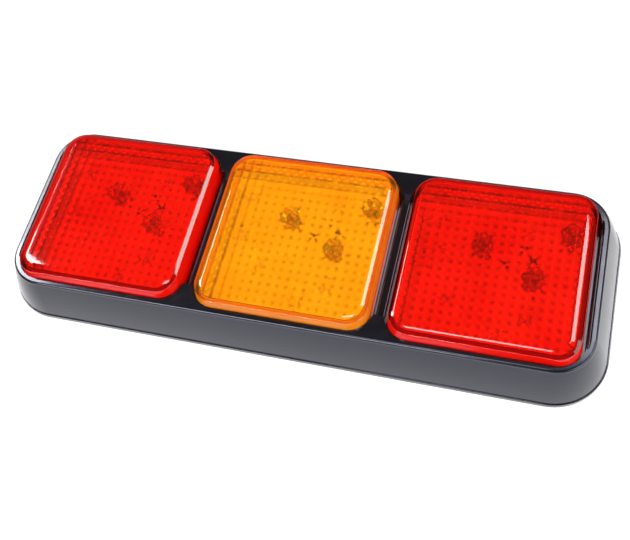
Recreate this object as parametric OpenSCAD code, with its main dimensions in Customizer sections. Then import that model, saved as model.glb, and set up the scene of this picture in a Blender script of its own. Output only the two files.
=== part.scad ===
// Triple rear lamp: three square LED lamps in one flared surface-mount base.
// It lies on its mounting side. X runs along the length, Z out of the lenses,
// and the origin is the centre of the mounting side.

/* [Base] */
// Corner radius of the foot
foot_r = 24; // [20:1:30]
// Height of the base's rim above its deck
rim_rise = 7.7; // [6:0.1:10]
// How far the rim stands in from the foot on every side
rim_inset = 7.5; // [5:0.1:8]
// Outward crown of the flared wall
wall_crown = 0.6; // [0.2:0.1:1]
// Radius of the rim's outer edge
rim_round = 1.2; // [0.6:0.1:1.6]
// Height of the upright band at the foot
band_h = 2.4; // [1.5:0.1:4]
// Step from the upright band to the flared wall
band_step = 0.5; // [0.3:0.1:1]
// Thickness of the base's outer wall
wall_t = 2.2; // [1.8:0.1:2.6]
// Width of the rim's flat top along the long sides
rim_w = 2.4; // [2:0.1:4]
// Height of the deck that carries the lamps' seals
deck_h = 15; // [14:0.1:16]
// Thickness of the deck
deck_t = 2; // [1.5:0.1:3]
// Thickness of the ribs behind the base
rib_t = 1.6; // [1.2:0.1:2.4]

/* [Bars beside the lamps] */
// Width of the bars between the lamps
bar_w = 4.3; // [3:0.1:8]
// Width of the bars at the two ends
end_bar_w = 2.7; // [2:0.1:6]
// Height of the bars above the deck
bar_rise = 3.6; // [2:0.1:5]
// How far the bars end short of a lamp's room, at each end
bar_short = 9.6; // [9:0.1:15]
// Radius of the bars' top edges
bar_round = 0.8; // [0.4:0.1:1.2]
// Thickness of the lip outside the end bars
lip_t = 0.7; // [0.5:0.1:1]

/* [Lamps] */
// Length of a lens
lens_l = 79.6; // [70:0.1:95]
// Width of a lens
lens_w = 78.2; // [70:0.1:95]
// Height of the lens face above the base's rim
lens_rise = 5.3; // [3:0.1:8]
// Corner radius of a lens
lens_r = 9.8; // [8.5:0.1:12]
// Thickness of a lens's side walls
lens_wall = 2.2; // [1.8:0.1:3]
// Thickness of a lens's face
lens_face = 2.4; // [2:0.1:3]
// Width of the bevel round a lens's face
bevel_w = 2.8; // [2:0.1:3.4]
// Drop of the bevel round a lens's face
bevel_h = 1; // [0.6:0.1:1.4]
// Free room between a lens and the base along the length
side_gap = 2.3; // [1:0.1:3]
// Free room between a lens and the base across the width
edge_gap = 1; // [0.6:0.1:1.4]
// Thickness of the seal under a lens
seal_t = 0.8; // [0.6:0.1:1.5]

/* [Lens optics] */
// Pitch of the flutes inside a lens
flute_pitch = 4.05; // [3:0.05:6]
// Depth of the flutes
flute_d = 0.5; // [0.3:0.05:0.8]

/* [Lamp inside] */
// Thickness of a tray's walls and floor
tray_t = 1.8; // [1.4:0.1:2.4]
// Height of a tray's rim above a lens's lower edge
tray_rise = 1.7; // [1:0.1:3]
// Free room between a tray and its tub in the base
tray_gap = 0.4; // [0.2:0.1:0.8]
// Height of the potting behind a circuit board
potting_h = 5.8; // [4:0.1:6.5]
// Thickness of a circuit board
board_t = 1.6; // [1:0.1:2]
// Free room round a circuit board
board_gap = 0.5; // [0.2:0.1:1]
// Diameter of the hole that the leads leave a tray by
lead_hole_d = 5; // [3:0.5:6]

/* [Light sources] */
// Distance from the outer light sources' centres to the board's edge
led_edge = 5.1; // [5:0.1:9]
// Turn of the rows of light sources
led_turn = -29.5; // [-35:0.5:-25]
// Diameter of a light source's optic
led_d = 10; // [8:0.1:10]
// Free room between a light source and the lens's flutes
led_gap = 4.1; // [3:0.1:7]
// Height of a light source's square package
package_h = 1.4; // [1:0.1:2]

/* [Small parts on the boards] */
// Length, width and height of a resistor
resistor_l = 3.2; // [2:0.1:5]
resistor_w = 1.6; // [1:0.1:2.5]
resistor_h = 0.6; // [0.4:0.1:1]
// Length, width and height of the diode
diode_l = 4.6; // [3:0.1:6]
diode_w = 2.7; // [2:0.1:4]
diode_h = 2.2; // [1:0.1:3]
// Side and height of the regulator
regulator_l = 6.4; // [5:0.1:8]
regulator_h = 2.2; // [1:0.1:3]

/* [Fixings] */
// Diameter of the mounting inserts' bore
insert_bore = 4.2; // [3.3:0.1:5]
// Outer diameter of the mounting inserts
insert_d = 6.4; // [6:0.1:7]
// Length of the mounting inserts
insert_l = 8; // [6:0.5:10]
// Distance from the mounting inserts' centres in to the edge of a lamp's tub
insert_in = 9.3; // [8:0.1:15]
// Diameter of the screws that hold a lamp
screw_d = 3; // [2.5:0.1:3.5]
// Diameter of those screws' heads
head_d = 5.6; // [5:0.1:6.5]
// Height of those screws' heads
head_h = 2.1; // [1.6:0.1:2.4]
// Length of those screws under the head
screw_l = 7; // [5:0.5:8]
// Distance from those screws' centres in to the tray's sides
screw_in = 10.2; // [8:0.1:14]

/* [Cable inlet] */
// Diameter of the cable hole in the grommet
cable_d = 6; // [4:0.1:7]
// Diameter of the grommet's neck
neck_d = 12; // [11:0.1:13]
// Diameter of the grommet's flanges
flange_d = 16; // [15:0.1:18]
// Thickness of the grommet's outer flange
flange_t = 1.3; // [1:0.1:1.6]

/* [Hidden] */
$fn = 48;
eps = 0.01;

// The wall's outline is drawn in this many straight steps.
wall_steps = 8;
// Room round the screws' heads and shanks, in diameter
head_room = 0.8;
shank_room = 0.4;
// Floor and walls of the tubs that hold the trays, and the pads that stand on the floor
floor_t = 2;
tub_t = 1.8;
pad_h = 4.4;
pad_wall = 2.2;
pad_d = head_d + 2 * pad_wall;
// Walls of the bosses round the screws and the inserts
boss_wall = 2;
insert_wall = 1.8;
// The screws' heads stay this far above the mounting side.
head_inset = 0.5;
// Web that the grommet's groove holds, and the pad round it
web_t = 1.5;
flange_inset = 0.2;
inlet_pad_h = flange_t + flange_inset + web_t;
inlet_pad_wall = 2.5;
inlet_pad_d = flange_d + 2 * inlet_pad_wall;
flange_room = 0.4;
// Flange on the grommet's inner side
inner_flange_t = 1;
inner_flange_d = flange_d - 1.6;
// Wire ways from the outer tubs to the middle one
wire_way_w = 6;
wire_way_h = 3;

rim_h = deck_h + rim_rise;
bar_h = deck_h + bar_rise;
lens_h = rim_h + lens_rise;
lens_z = deck_h + seal_t;
edge_z = lens_h - bevel_h;
pocket_l = lens_l + 2 * side_gap;
pocket_w = lens_w + 2 * edge_gap;
pocket_r = lens_r + side_gap;
lamp_pitch = pocket_l + bar_w;
bar_l = pocket_w - 2 * bar_short;
end_bar_x = lamp_pitch + pocket_l / 2;
foot_l = 2 * (end_bar_x + end_bar_w + lip_t + rim_inset);
foot_w = pocket_w + 2 * (rim_w + rim_inset);

tray_l = lens_l - 2 * lens_wall;
tray_w = lens_w - 2 * lens_wall;
tray_r = lens_r - lens_wall;
tray_top = lens_z + tray_rise;
tub_l = tray_l + 2 * tray_gap;
tub_w = tray_w + 2 * tray_gap;
tub_r = tray_r + tray_gap;
screw_x = tray_l / 2 - screw_in;
screw_y = tray_w / 2 - screw_in;
insert_y = tub_w / 2 - insert_in;
board_z = pad_h + tray_t + potting_h;
board_top = board_z + board_t;
lens_under = lens_h - lens_face;
board_l = tray_l - 2 * (tray_t + board_gap);
board_w = tray_w - 2 * (tray_t + board_gap);
boss_d = screw_d + 2 * boss_wall;
insert_boss_d = insert_d + 2 * insert_wall;
led_h = lens_under - flute_d - led_gap - board_top;
lens_red = [0.85, 0.06, 0.04, 0.75];
lens_amber = [1, 0.55, 0.05, 0.75];
black_plastic = [0.06, 0.06, 0.07];

// Inset of the wall's outer face at height z
function wall_inset(z) =
  let (t = max(0, (z - band_h) / (rim_h - band_h)))
  z <= band_h ? 0 : band_step + (rim_inset - band_step) * t - wall_crown * 4 * t * (1 - t);

// The light sources stand on a square grid, turned on the board and centred on it.
led_steps = [[0, 0], [1, 0], [1, 1], [0, -1], [1, -1], [-1, 0]];
function turned(step) = [
  step[0] * cos(led_turn) - step[1] * sin(led_turn),
  step[0] * sin(led_turn) + step[1] * cos(led_turn)
];
led_xs = [for (s = led_steps) turned(s)[0]];
led_ys = [for (s = led_steps) turned(s)[1]];
led_mid = [(max(led_xs) + min(led_xs)) / 2, (max(led_ys) + min(led_ys)) / 2];
led_pitch = min((board_l - 2 * led_edge) / (max(led_xs) - min(led_xs)),
  (board_w - 2 * led_edge) / (max(led_ys) - min(led_ys)));
function led_place(step) = led_pitch * (turned(step) - led_mid);
// Places of the small parts, in steps of the same grid
resistor_steps = [[0.5, 0.45], [0.45, 0.05], [0.75, 0.35], [-0.55, -0.35], [-0.3, 0.4], [0.4, -0.6]];
diode_step = [0.4, 0.75];
regulator_steps = [[-0.6, -0.75], [1.25, -0.5]];

// Flat shape with rounded corners
module rounded_plate(l, w, r) {
  square([l - 2 * r, w], center = true);
  square([l, w - 2 * r], center = true);
  for (sx = [-1, 1], sy = [-1, 1])
    translate([sx * (l / 2 - r), sy * (w / 2 - r)]) circle(r);
}

module rounded_block(l, w, r, z0, z1) {
  translate([0, 0, z0]) linear_extrude(z1 - z0) rounded_plate(l, w, r);
}

// Runs a section round a rounded rectangle: the section's x is the inset, its y the height.
module run_round(l, w, r) {
  for (q = [0:3]) {
    along = q % 2 == 0 ? l : w;
    across = q % 2 == 0 ? w : l;
    rotate(90 * q) {
      translate([r - along / 2, across / 2, 0]) rotate([90, 0, 90])
        linear_extrude(along - 2 * r) mirror([1, 0]) children();
      translate([along / 2 - r, across / 2 - r, 0]) rotate_extrude(angle = 90)
        translate([r, 0]) mirror([1, 0]) children();
    }
  }
}

// Section of the flared outer wall
module wall_section() {
  top = rim_h - rim_round;
  heights = [for (i = [0:wall_steps]) band_h + eps + (top - band_h - eps) * i / wall_steps];
  outer = [for (z = heights) [wall_inset(z), z]];
  inner = [for (i = [wall_steps:-1:0]) [wall_inset(heights[i]) + wall_t, heights[i]]];
  rim_x = wall_inset(top);
  polygon(concat([[0, 0], [0, band_h]], outer, inner, [[wall_t, band_h], [wall_t, 0]]));
  intersection() {
    translate([rim_x + rim_round, top]) circle(rim_round);
    translate([rim_x, top - eps]) square([rim_round, rim_round + 2 * eps]);
  }
  translate([rim_x + rim_round, top - eps]) square([wall_t - rim_round + 0.4, rim_round + eps]);
}

module at_lamps() {
  for (side = [-1:1]) translate([side * lamp_pitch, 0, 0]) children();
}

module at_screws() {
  for (s = [-1, 1]) translate([s * screw_x, s * screw_y, 0]) children();
}

module at_inserts() {
  for (sx = [-1, 1], sy = [-1, 1])
    translate([sx * lamp_pitch / 2, sy * insert_y, 0]) children();
}

// Bar with rounded top edges, from the deck up
module bar(w, z0, z1) {
  rotate([90, 0, 0]) linear_extrude(bar_l, center = true) {
    translate([-w / 2, z0]) square([w, z1 - z0 - bar_round]);
    translate([bar_round - w / 2, z0]) square([w - 2 * bar_round, z1 - z0]);
    for (s = [-1, 1]) translate([s * (w / 2 - bar_round), z1 - bar_round]) circle(bar_round);
  }
}

// Rib from a tub's wall to the outer wall, under the deck
module rib(reach, half_w) {
  heights = [for (i = [0:wall_steps]) 1 + (deck_h - deck_t - 1 + eps) * i / wall_steps];
  outer = [for (z = heights) [half_w - wall_inset(z) - wall_t / 2, z]];
  rotate([90, 0, 0]) linear_extrude(rib_t, center = true)
    polygon(concat([[reach, deck_h - deck_t + eps], [reach, 1]], outer));
}

module base() {
  land_inset = rim_inset + 0.8;
  color(black_plastic) difference() {
    union() {
      run_round(foot_l, foot_w, foot_r) wall_section();
      difference() {
        rounded_block(foot_l - 2 * land_inset, foot_w - 2 * land_inset, foot_r - land_inset,
          deck_h - deck_t, rim_h);
        at_lamps() rounded_block(pocket_l, pocket_w, pocket_r, deck_h, rim_h + 1);
        for (s = [-1, 1]) {
          translate([s * lamp_pitch / 2, 0, (deck_h + rim_h + 1) / 2])
            cube([bar_w + 1, bar_l, rim_h + 1 - deck_h], center = true);
          translate([s * (end_bar_x + end_bar_w / 2), 0, (deck_h + rim_h + 1) / 2])
            cube([end_bar_w + eps, bar_l, rim_h + 1 - deck_h], center = true);
        }
      }
      for (s = [-1, 1]) {
        translate([s * lamp_pitch / 2, 0, 0]) bar(bar_w, deck_h - eps, bar_h);
        translate([s * (end_bar_x + end_bar_w / 2), 0, 0]) bar(end_bar_w, deck_h - eps, bar_h);
      }
      at_lamps() {
        rounded_block(tub_l + 2 * tub_t, tub_w + 2 * tub_t, tub_r + tub_t, 0, deck_h - deck_t + eps);
        for (s = [-1, 1], x = [-1, 0, 1])
          rotate(90 * s) translate([0, x * tub_l / 3, 0]) rib(tub_w / 2 + tub_t / 2, foot_w / 2);
      }
      for (s = [0, 180], y = [-1, 0, 1])
        rotate(s) translate([0, y * tub_w / 4, 0])
          rib(lamp_pitch + tub_l / 2 + tub_t / 2, foot_l / 2);
      at_inserts() cylinder(d = insert_boss_d, h = deck_h - deck_t + eps);
      for (sx = [-1, 1], turn = [90, -90])
        translate([sx * lamp_pitch / 2, 0, 0]) rotate(turn) rib(insert_y, foot_w / 2);
    }
    at_lamps() difference() {
      rounded_block(tub_l, tub_w, tub_r, floor_t, rim_h);
      at_screws() cylinder(d = pad_d, h = pad_h);
      cylinder(d = inlet_pad_d, h = inlet_pad_h);
    }
    at_lamps() at_screws() {
      translate([0, 0, -1]) cylinder(d = screw_d + shank_room, h = pad_h + 2);
      translate([0, 0, -1]) cylinder(d = head_d + head_room, h = 1 + head_inset + head_h);
    }
    at_inserts() translate([0, 0, -1]) cylinder(d = insert_d, h = insert_l + 1.5);
    translate([0, 0, -1]) {
      cylinder(d = neck_d, h = inlet_pad_h + 2);
      cylinder(d = flange_d + flange_room, h = 1 + flange_inset + flange_t);
    }
    for (s = [-1, 1]) translate([s * lamp_pitch / 2, 0, floor_t + wire_way_h / 2])
      cube([lamp_pitch - tub_l + 2, wire_way_w, wire_way_h], center = true);
  }
}

// Section of a lens's wall, with the bevel round its face
module lens_section() {
  reach = bevel_w + 0.6;
  polygon([
    [0, lens_z], [0, edge_z - 0.4], [0.12, edge_z - 0.12], [0.4, edge_z],
    [bevel_w - 0.5, lens_h - 0.1], [bevel_w, lens_h], [reach, lens_h],
    [reach, lens_under], [lens_wall, lens_under], [lens_wall, lens_z]
  ]);
}

// Half-round flutes that cross on the inner face, in a square grid
module flutes() {
  r = (pow(flute_pitch / 2, 2) + pow(flute_d, 2)) / (2 * flute_d);
  n = floor((tray_l - 2) / 2 / flute_pitch);
  m = floor((tray_w - 2) / 2 / flute_pitch);
  intersection() {
    rounded_block(tray_l - 1, tray_w - 1, tray_r - 0.5, lens_under - flute_d, lens_under + 0.5);
    union() {
      for (i = [-n:n]) translate([i * flute_pitch, 0, lens_under + r - flute_d])
        rotate([90, 0, 0]) cylinder(r = r, h = lens_w, center = true);
      for (j = [-m:m]) translate([0, j * flute_pitch, lens_under + r - flute_d])
        rotate([0, 90, 0]) cylinder(r = r, h = lens_l, center = true);
    }
  }
}

module lens(side, tint) {
  color(tint) translate([side * lamp_pitch, 0, 0]) {
    run_round(lens_l, lens_w, lens_r) lens_section();
    rounded_block(lens_l - 2 * bevel_w, lens_w - 2 * bevel_w, lens_r - bevel_w, lens_under, lens_h);
    flutes();
  }
}

module tray(side) {
  color([0.9, 0.9, 0.87]) translate([side * lamp_pitch, 0, 0]) difference() {
    union() {
      difference() {
        rounded_block(tray_l, tray_w, tray_r, pad_h, tray_top);
        rounded_block(tray_l - 2 * tray_t, tray_w - 2 * tray_t, tray_r - tray_t,
          pad_h + tray_t, tray_top + 1);
      }
      at_screws() translate([0, 0, pad_h]) cylinder(d = boss_d, h = board_z - pad_h);
    }
    at_screws() translate([0, 0, pad_h - 1]) cylinder(d = screw_d, h = screw_l);
    translate([0, 0, pad_h - 1]) cylinder(d = lead_hole_d, h = tray_t + 2);
  }
}

module potting(side) {
  color([0.1, 0.1, 0.1]) translate([side * lamp_pitch, 0, 0]) difference() {
    rounded_block(tray_l - 2 * tray_t, tray_w - 2 * tray_t, tray_r - tray_t,
      pad_h + tray_t, board_z);
    at_screws() translate([0, 0, pad_h]) cylinder(d = boss_d, h = potting_h + 3);
  }
}

module board(side) {
  color([0.85, 0.85, 0.82]) translate([side * lamp_pitch, 0, 0])
    rounded_block(board_l, board_w, tray_r - tray_t - board_gap, board_z, board_top);
}

// One light source: a square package with a flared round optic on it
module led() {
  package = 0.7 * led_d;
  flange = led_d / 13;
  translate([0, 0, package_h / 2]) cube([package, package, package_h], center = true);
  rotate_extrude() difference() {
    polygon([[0, package_h - eps], [package / 2 - 0.3, package_h - eps],
      [led_d / 2, led_h - flange], [led_d / 2, led_h], [0, led_h]]);
    translate([0, led_h + led_d / 4]) circle(led_d * 0.36);
  }
}

module leds(side) {
  color([1, 0.93, 0.75]) translate([side * lamp_pitch, 0, board_top])
    for (s = led_steps) translate(led_place(s)) led();
}

module on_board(steps, height) {
  for (s = steps) translate([led_place(s)[0], led_place(s)[1], height / 2]) children();
}

// Resistors, a diode and two regulators between the light sources
module board_parts(side) {
  color([0.1, 0.1, 0.11]) translate([side * lamp_pitch, 0, board_top]) {
    on_board(resistor_steps, resistor_h) cube([resistor_l, resistor_w, resistor_h], center = true);
    on_board([diode_step], diode_h) cube([diode_l, diode_w, diode_h], center = true);
    on_board(regulator_steps, regulator_h) cube([regulator_l, regulator_l, regulator_h], center = true);
  }
}

module seal(side) {
  color([0.15, 0.15, 0.15]) translate([side * lamp_pitch, 0, 0]) difference() {
    rounded_block(lens_l, lens_w, lens_r, deck_h, lens_z);
    rounded_block(tub_l, tub_w, tub_r, deck_h - 1, lens_z + 1);
  }
}

module lamp_screw() {
  difference() {
    union() {
      cylinder(d = head_d, h = head_h);
      cylinder(d = screw_d, h = head_h + screw_l);
    }
    for (a = [0, 90]) rotate(a) translate([0, 0, 0.5]) cube([3, 0.7, 1.2], center = true);
  }
}

module lamp_screws() {
  color([0.7, 0.7, 0.72]) at_lamps() at_screws() translate([0, 0, head_inset]) lamp_screw();
}

// Brass insert with two grooves that hold it in its boss
module insert() {
  groove = 1;
  rotate_extrude() difference() {
    translate([insert_bore / 2, 0]) square([(insert_d - insert_bore) / 2, insert_l]);
    for (z = [insert_l / 3, 2 * insert_l / 3])
      translate([insert_d / 2 - 0.4, z - groove / 2]) square([1, groove]);
  }
}

module mounting_inserts() {
  color([0.75, 0.6, 0.25]) at_inserts() insert();
}

// Rubber grommet: its groove holds the web of the base's inlet pad
module cable_grommet() {
  color([0.08, 0.08, 0.08]) rotate_extrude() difference() {
    union() {
      translate([0, flange_inset]) square([flange_d / 2, flange_t]);
      translate([0, flange_inset]) square([neck_d / 2, inlet_pad_h + inner_flange_t - flange_inset]);
      translate([0, inlet_pad_h]) square([inner_flange_d / 2, inner_flange_t]);
    }
    translate([0, -1]) square([cable_d / 2, inlet_pad_h + inner_flange_t + 2]);
  }
}

base();
lens(-1, lens_red);  // lens_left
lens(0, lens_amber);  // lens_middle
lens(1, lens_red);  // lens_right
tray(-1);  // tray_left
tray(0);  // tray_middle
tray(1);  // tray_right
board(-1);  // board_left
board(0);  // board_middle
board(1);  // board_right
leds(-1);  // leds_left
leds(0);  // leds_middle
leds(1);  // leds_right
board_parts(-1);  // board_parts_left
board_parts(0);  // board_parts_middle
board_parts(1);  // board_parts_right
potting(-1);  // potting_left
potting(0);  // potting_middle
potting(1);  // potting_right
seal(-1);  // seal_left
seal(0);  // seal_middle
seal(1);  // seal_right
lamp_screws();
mounting_inserts();
cable_grommet();
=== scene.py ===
# %% [markdown]
# Triple rear lamp
# The object is a surface-mount rear lamp cluster for a car or trailer: three square LED lamps,
# red, amber and red, side by side in one flared black plastic base. The CAD model already has its
# solids. This lesson gives them the finishes and the fine shapes that a camera sees, one piece at
# a time, and it never moves or resizes a solid.

# %% Load the frame
import math

import bmesh
import bpy
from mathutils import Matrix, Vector


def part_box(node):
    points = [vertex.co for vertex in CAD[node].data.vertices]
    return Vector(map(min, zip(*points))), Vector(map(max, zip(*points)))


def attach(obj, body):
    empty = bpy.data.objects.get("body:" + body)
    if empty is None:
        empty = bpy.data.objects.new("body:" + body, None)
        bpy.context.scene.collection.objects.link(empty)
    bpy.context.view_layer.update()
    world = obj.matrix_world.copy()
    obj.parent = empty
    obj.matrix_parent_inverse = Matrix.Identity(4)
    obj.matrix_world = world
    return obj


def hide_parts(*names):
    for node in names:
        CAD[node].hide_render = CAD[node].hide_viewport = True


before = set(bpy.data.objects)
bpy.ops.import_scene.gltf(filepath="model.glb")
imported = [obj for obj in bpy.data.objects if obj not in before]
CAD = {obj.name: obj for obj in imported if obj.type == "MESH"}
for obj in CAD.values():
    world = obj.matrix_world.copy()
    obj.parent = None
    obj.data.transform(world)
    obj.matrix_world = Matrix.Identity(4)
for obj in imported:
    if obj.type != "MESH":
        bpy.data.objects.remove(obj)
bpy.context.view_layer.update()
print("CAD nodes:", len(CAD))

# %% [markdown]
# Sizes
# Blender works in metres and the lamp is drawn in millimetres, so each size is written in
# millimetres and MM turns it. The lamps' places and the lenses' outlines are measured on the CAD
# solids, so that each new piece sits where its solid does.

# %% Sizes
MM = 0.001
LENS_TINT = {"left": "red", "middle": "amber", "right": "red"}


def centre_of(node_name):
    """Middle of a CAD node's box, in millimetres."""
    low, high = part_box(node_name)
    return (low + high) / 2 / MM


def half_size(node_name):
    """Half the length and half the width of a CAD node's box, in millimetres."""
    low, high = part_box(node_name)
    return (high.x - low.x) / 2 / MM, (high.y - low.y) / 2 / MM


LAMP_X = {side: centre_of("tray_" + side).x for side in LENS_TINT}
LENS_HALF = {side: half_size("lens_" + side) for side in LENS_TINT}
print("lamp centres (mm):", {side: round(x, 2) for side, x in LAMP_X.items()})

# %% [markdown]
# The camera
# The photograph looks down on the lamp from its front right, 61 degrees above the floor, and is
# turned a little about its own axis. The base's long edges draw together towards the left, and
# how much they do gives the distance and the focal length. The camera is made before anything
# else, so that each piece can be judged in the photograph's own frame.

# %% Camera
AIM = Vector((10.98, -12.70, 20.0)) * MM
ELEVATION, AZIMUTH, ROLL = math.radians(61.46), math.radians(30.34), math.radians(-18.46)
CAMERA_DISTANCE, FOCAL_MM, FILM_MM = 0.3949, 50.31, 36.0


def make_camera():
    """Camera at the photograph's viewing angle."""
    back = Vector((math.sin(AZIMUTH) * math.cos(ELEVATION),
                   -math.cos(AZIMUTH) * math.cos(ELEVATION), math.sin(ELEVATION)))
    level = Vector((0, 0, 1)).cross(back).normalized()
    right = math.cos(ROLL) * level + math.sin(ROLL) * back.cross(level)
    upward = back.cross(right)
    data = bpy.data.cameras.new("camera")
    data.lens, data.sensor_width, data.sensor_fit = FOCAL_MM, FILM_MM, "HORIZONTAL"
    data.clip_start, data.clip_end = 0.01, 20.0
    camera = bpy.data.objects.new("camera", data)
    bpy.context.scene.collection.objects.link(camera)
    turn = camera.matrix_world.to_3x3()
    for row in range(3):
        turn[row] = (right[row], upward[row], back[row])
    camera.matrix_world = turn.to_4x4()
    camera.location = AIM + CAMERA_DISTANCE * back
    bpy.context.scene.camera = camera
    return camera


print("camera stands at", [round(v, 4) for v in make_camera().location])

# %% [markdown]
# Helpers for nodes
# A material and a Geometry Nodes tree are both graphs of nodes. One function adds a node, sets
# its values and links it, whatever its kind, so a formula is a row of such calls. Colours are
# written as they look on a screen, and one function turns them to the linear values that the
# renderer works in.

# %% Helpers for nodes


def linear(hex_colour):
    """sRGB hex colour as a linear RGBA value."""
    parts = [int(hex_colour[i:i + 2], 16) / 255 for i in (1, 3, 5)]
    return tuple(c / 12.92 if c <= 0.04045 else ((c + 0.055) / 1.055) ** 2.4 for c in parts) + (1,)


def add(tree, kind, inputs=None, **settings):
    """Adds a node. Inputs are set by socket name or number, to a value, to another node's socket
    or to another node, which stands for its first output."""
    node = tree.nodes.new(kind)
    for name, value in settings.items():
        setattr(node, name, value)
    for socket, value in (inputs or {}).items():
        if isinstance(value, bpy.types.Node):
            value = value.outputs[0]
        if isinstance(value, bpy.types.NodeSocket):
            tree.links.new(value, node.inputs[socket])
        else:
            node.inputs[socket].default_value = value
    return node


# %% A new material


def new_material(name, **constants):
    """A material, its tree and its shader, with the constants set on the shader's own sockets."""
    mat = bpy.data.materials.new(name)
    mat.use_nodes = True
    shader = mat.node_tree.nodes["Principled BSDF"]
    for socket, value in constants.items():
        shader.inputs[socket.replace("_", " ")].default_value = value
    return mat, mat.node_tree, shader


# %% Uneven patches
NOISE_LOW, NOISE_HIGH = 0.3, 0.7  # nearly all of a noise texture lies between these


def blotches(tree, size_mm, low=0.0, high=1.0, detail=3.0):
    """Noise with blotches of a size in millimetres, spread from low to high."""
    place = add(tree, "ShaderNodeTexCoord")
    noise = add(tree, "ShaderNodeTexNoise", {"Vector": place.outputs["Object"],
                                             "Scale": 1 / (size_mm * MM), "Detail": detail})
    return add(tree, "ShaderNodeMapRange", {"Value": noise.outputs["Fac"],
                                            "From Min": NOISE_LOW, "From Max": NOISE_HIGH,
                                            "To Min": low, "To Max": high}).outputs[0]


def drifting_colour(tree, patch_mm, hexes):
    """A colour that drifts from one hex colour to another, in patches of a size in millimetres."""
    drift = add(tree, "ShaderNodeMix", {0: blotches(tree, patch_mm), 6: linear(hexes[0]),
                                        7: linear(hexes[1])}, data_type="RGBA")
    return drift.outputs[2]


# %% [markdown]
# One finish, many materials
# Moulded plastic, rubber, solder and plated steel differ in their numbers, not in how they are
# built up: a colour that drifts a little, a gloss that is uneven, and a grain that a fingernail
# could feel. So one function takes those as sizes in millimetres. A worn or moulded edge is never
# sharp, and edge_mm rounds what the light sees of it.

# %% One finish
GLOSS_PATCH = 0.4  # size of the patches of gloss, as a share of the patches of colour


def finish(name, hexes, patch_mm, gloss, grain_mm, grain_depth_mm, edge_mm=0.0, **constants):
    """Material with a drifting colour, an uneven roughness and a grain."""
    mat, tree, shader = new_material(name, **constants)
    tree.links.new(drifting_colour(tree, patch_mm, hexes), shader.inputs["Base Color"])
    tree.links.new(blotches(tree, patch_mm * GLOSS_PATCH, *gloss), shader.inputs["Roughness"])
    grain = add(tree, "ShaderNodeBump", {"Height": blotches(tree, grain_mm, detail=1.0),
                                         "Distance": grain_depth_mm * MM, "Strength": 1.0})
    if edge_mm:
        soft = add(tree, "ShaderNodeBevel", {"Radius": edge_mm * MM}, samples=6)
        tree.links.new(soft.outputs[0], grain.inputs["Normal"])
    tree.links.new(grain.outputs[0], shader.inputs["Normal"])
    return mat


# %% [markdown]
# The base's plastic and its neighbours
# The base is ABS, moulded in a polished tool: nearly black, a little blue where it mirrors a
# white room, with a faint waviness of about 3 mm that shrinking leaves. The seals are closed-cell
# foam, which looks dull and porous. The screws are zinc plated, which gives them a cool, slightly
# patchy shine. The cast resin under each board is black and glassy, as it set. The trays are
# white and satin, so that they throw light back out through the lens's wall. Images could carry
# such finishes, but noise in real sizes needs no unwrapping and runs on over every edge.

# %% The base's plastic and its neighbours
BLACK_ABS = finish("black ABS, moulded in a polished tool", ("#141419", "#18181E"), 14,
                   (0.13, 0.2), 3.0, 0.006, edge_mm=0.25, IOR=1.54, Coat_Weight=0.45,
                   Coat_Roughness=0.06, Specular_Tint=linear("#DCDFFF"))
FOAM = finish("black closed-cell foam", ("#17171A", "#232327"), 1.2, (0.75, 0.95), 0.5, 0.08,
              IOR=1.45)
ZINC = finish("steel, zinc plated", ("#C4C8CC", "#AEB4BA"), 1.5, (0.22, 0.38), 0.3, 0.006,
              edge_mm=0.1, Metallic=1.0)
RESIN = finish("black potting resin, cast", ("#101012", "#19191B"), 6, (0.1, 0.22), 5.0, 0.03,
               IOR=1.56)
WHITE_TRAY = finish("white polycarbonate, satin moulded", ("#F4F3EE", "#ECEAE3"), 10,
                    (0.35, 0.5), 1.0, 0.01, edge_mm=0.2, IOR=1.58)
print("nodes in the base's finish:", len(BLACK_ABS.node_tree.nodes))

# %% [markdown]
# The lamp's board
# A white solder mask covers the board, because it throws the light back out. Under it lie copper
# areas with narrow gaps between them, which show as faint lines, and the glass cloth gives a fine
# weave. The real cloth has about 17 threads to the centimetre. It is drawn at 1.2 mm, so that it
# shows at all. Real tracks could be modelled, but through a fluted lens only their gaps tell, and
# the borders of a Voronoi texture's cells are such gaps.

# %% The lamp's board
COPPER_AREA, MASK_DRIFT = 11, 8
GAP_END, COPPER_START = 0.015, 0.04  # distances from a gap's middle, as shares of an area
CLOTH_PITCH, WAVES_PER_UNIT = 1.2, 3.2  # a wave texture of scale 1 has 3.2 waves to the unit
COPPER_RELIEF, RELIEF_DEPTH = 3.0, 0.01  # the copper's step in threads, and a thread's height


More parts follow.
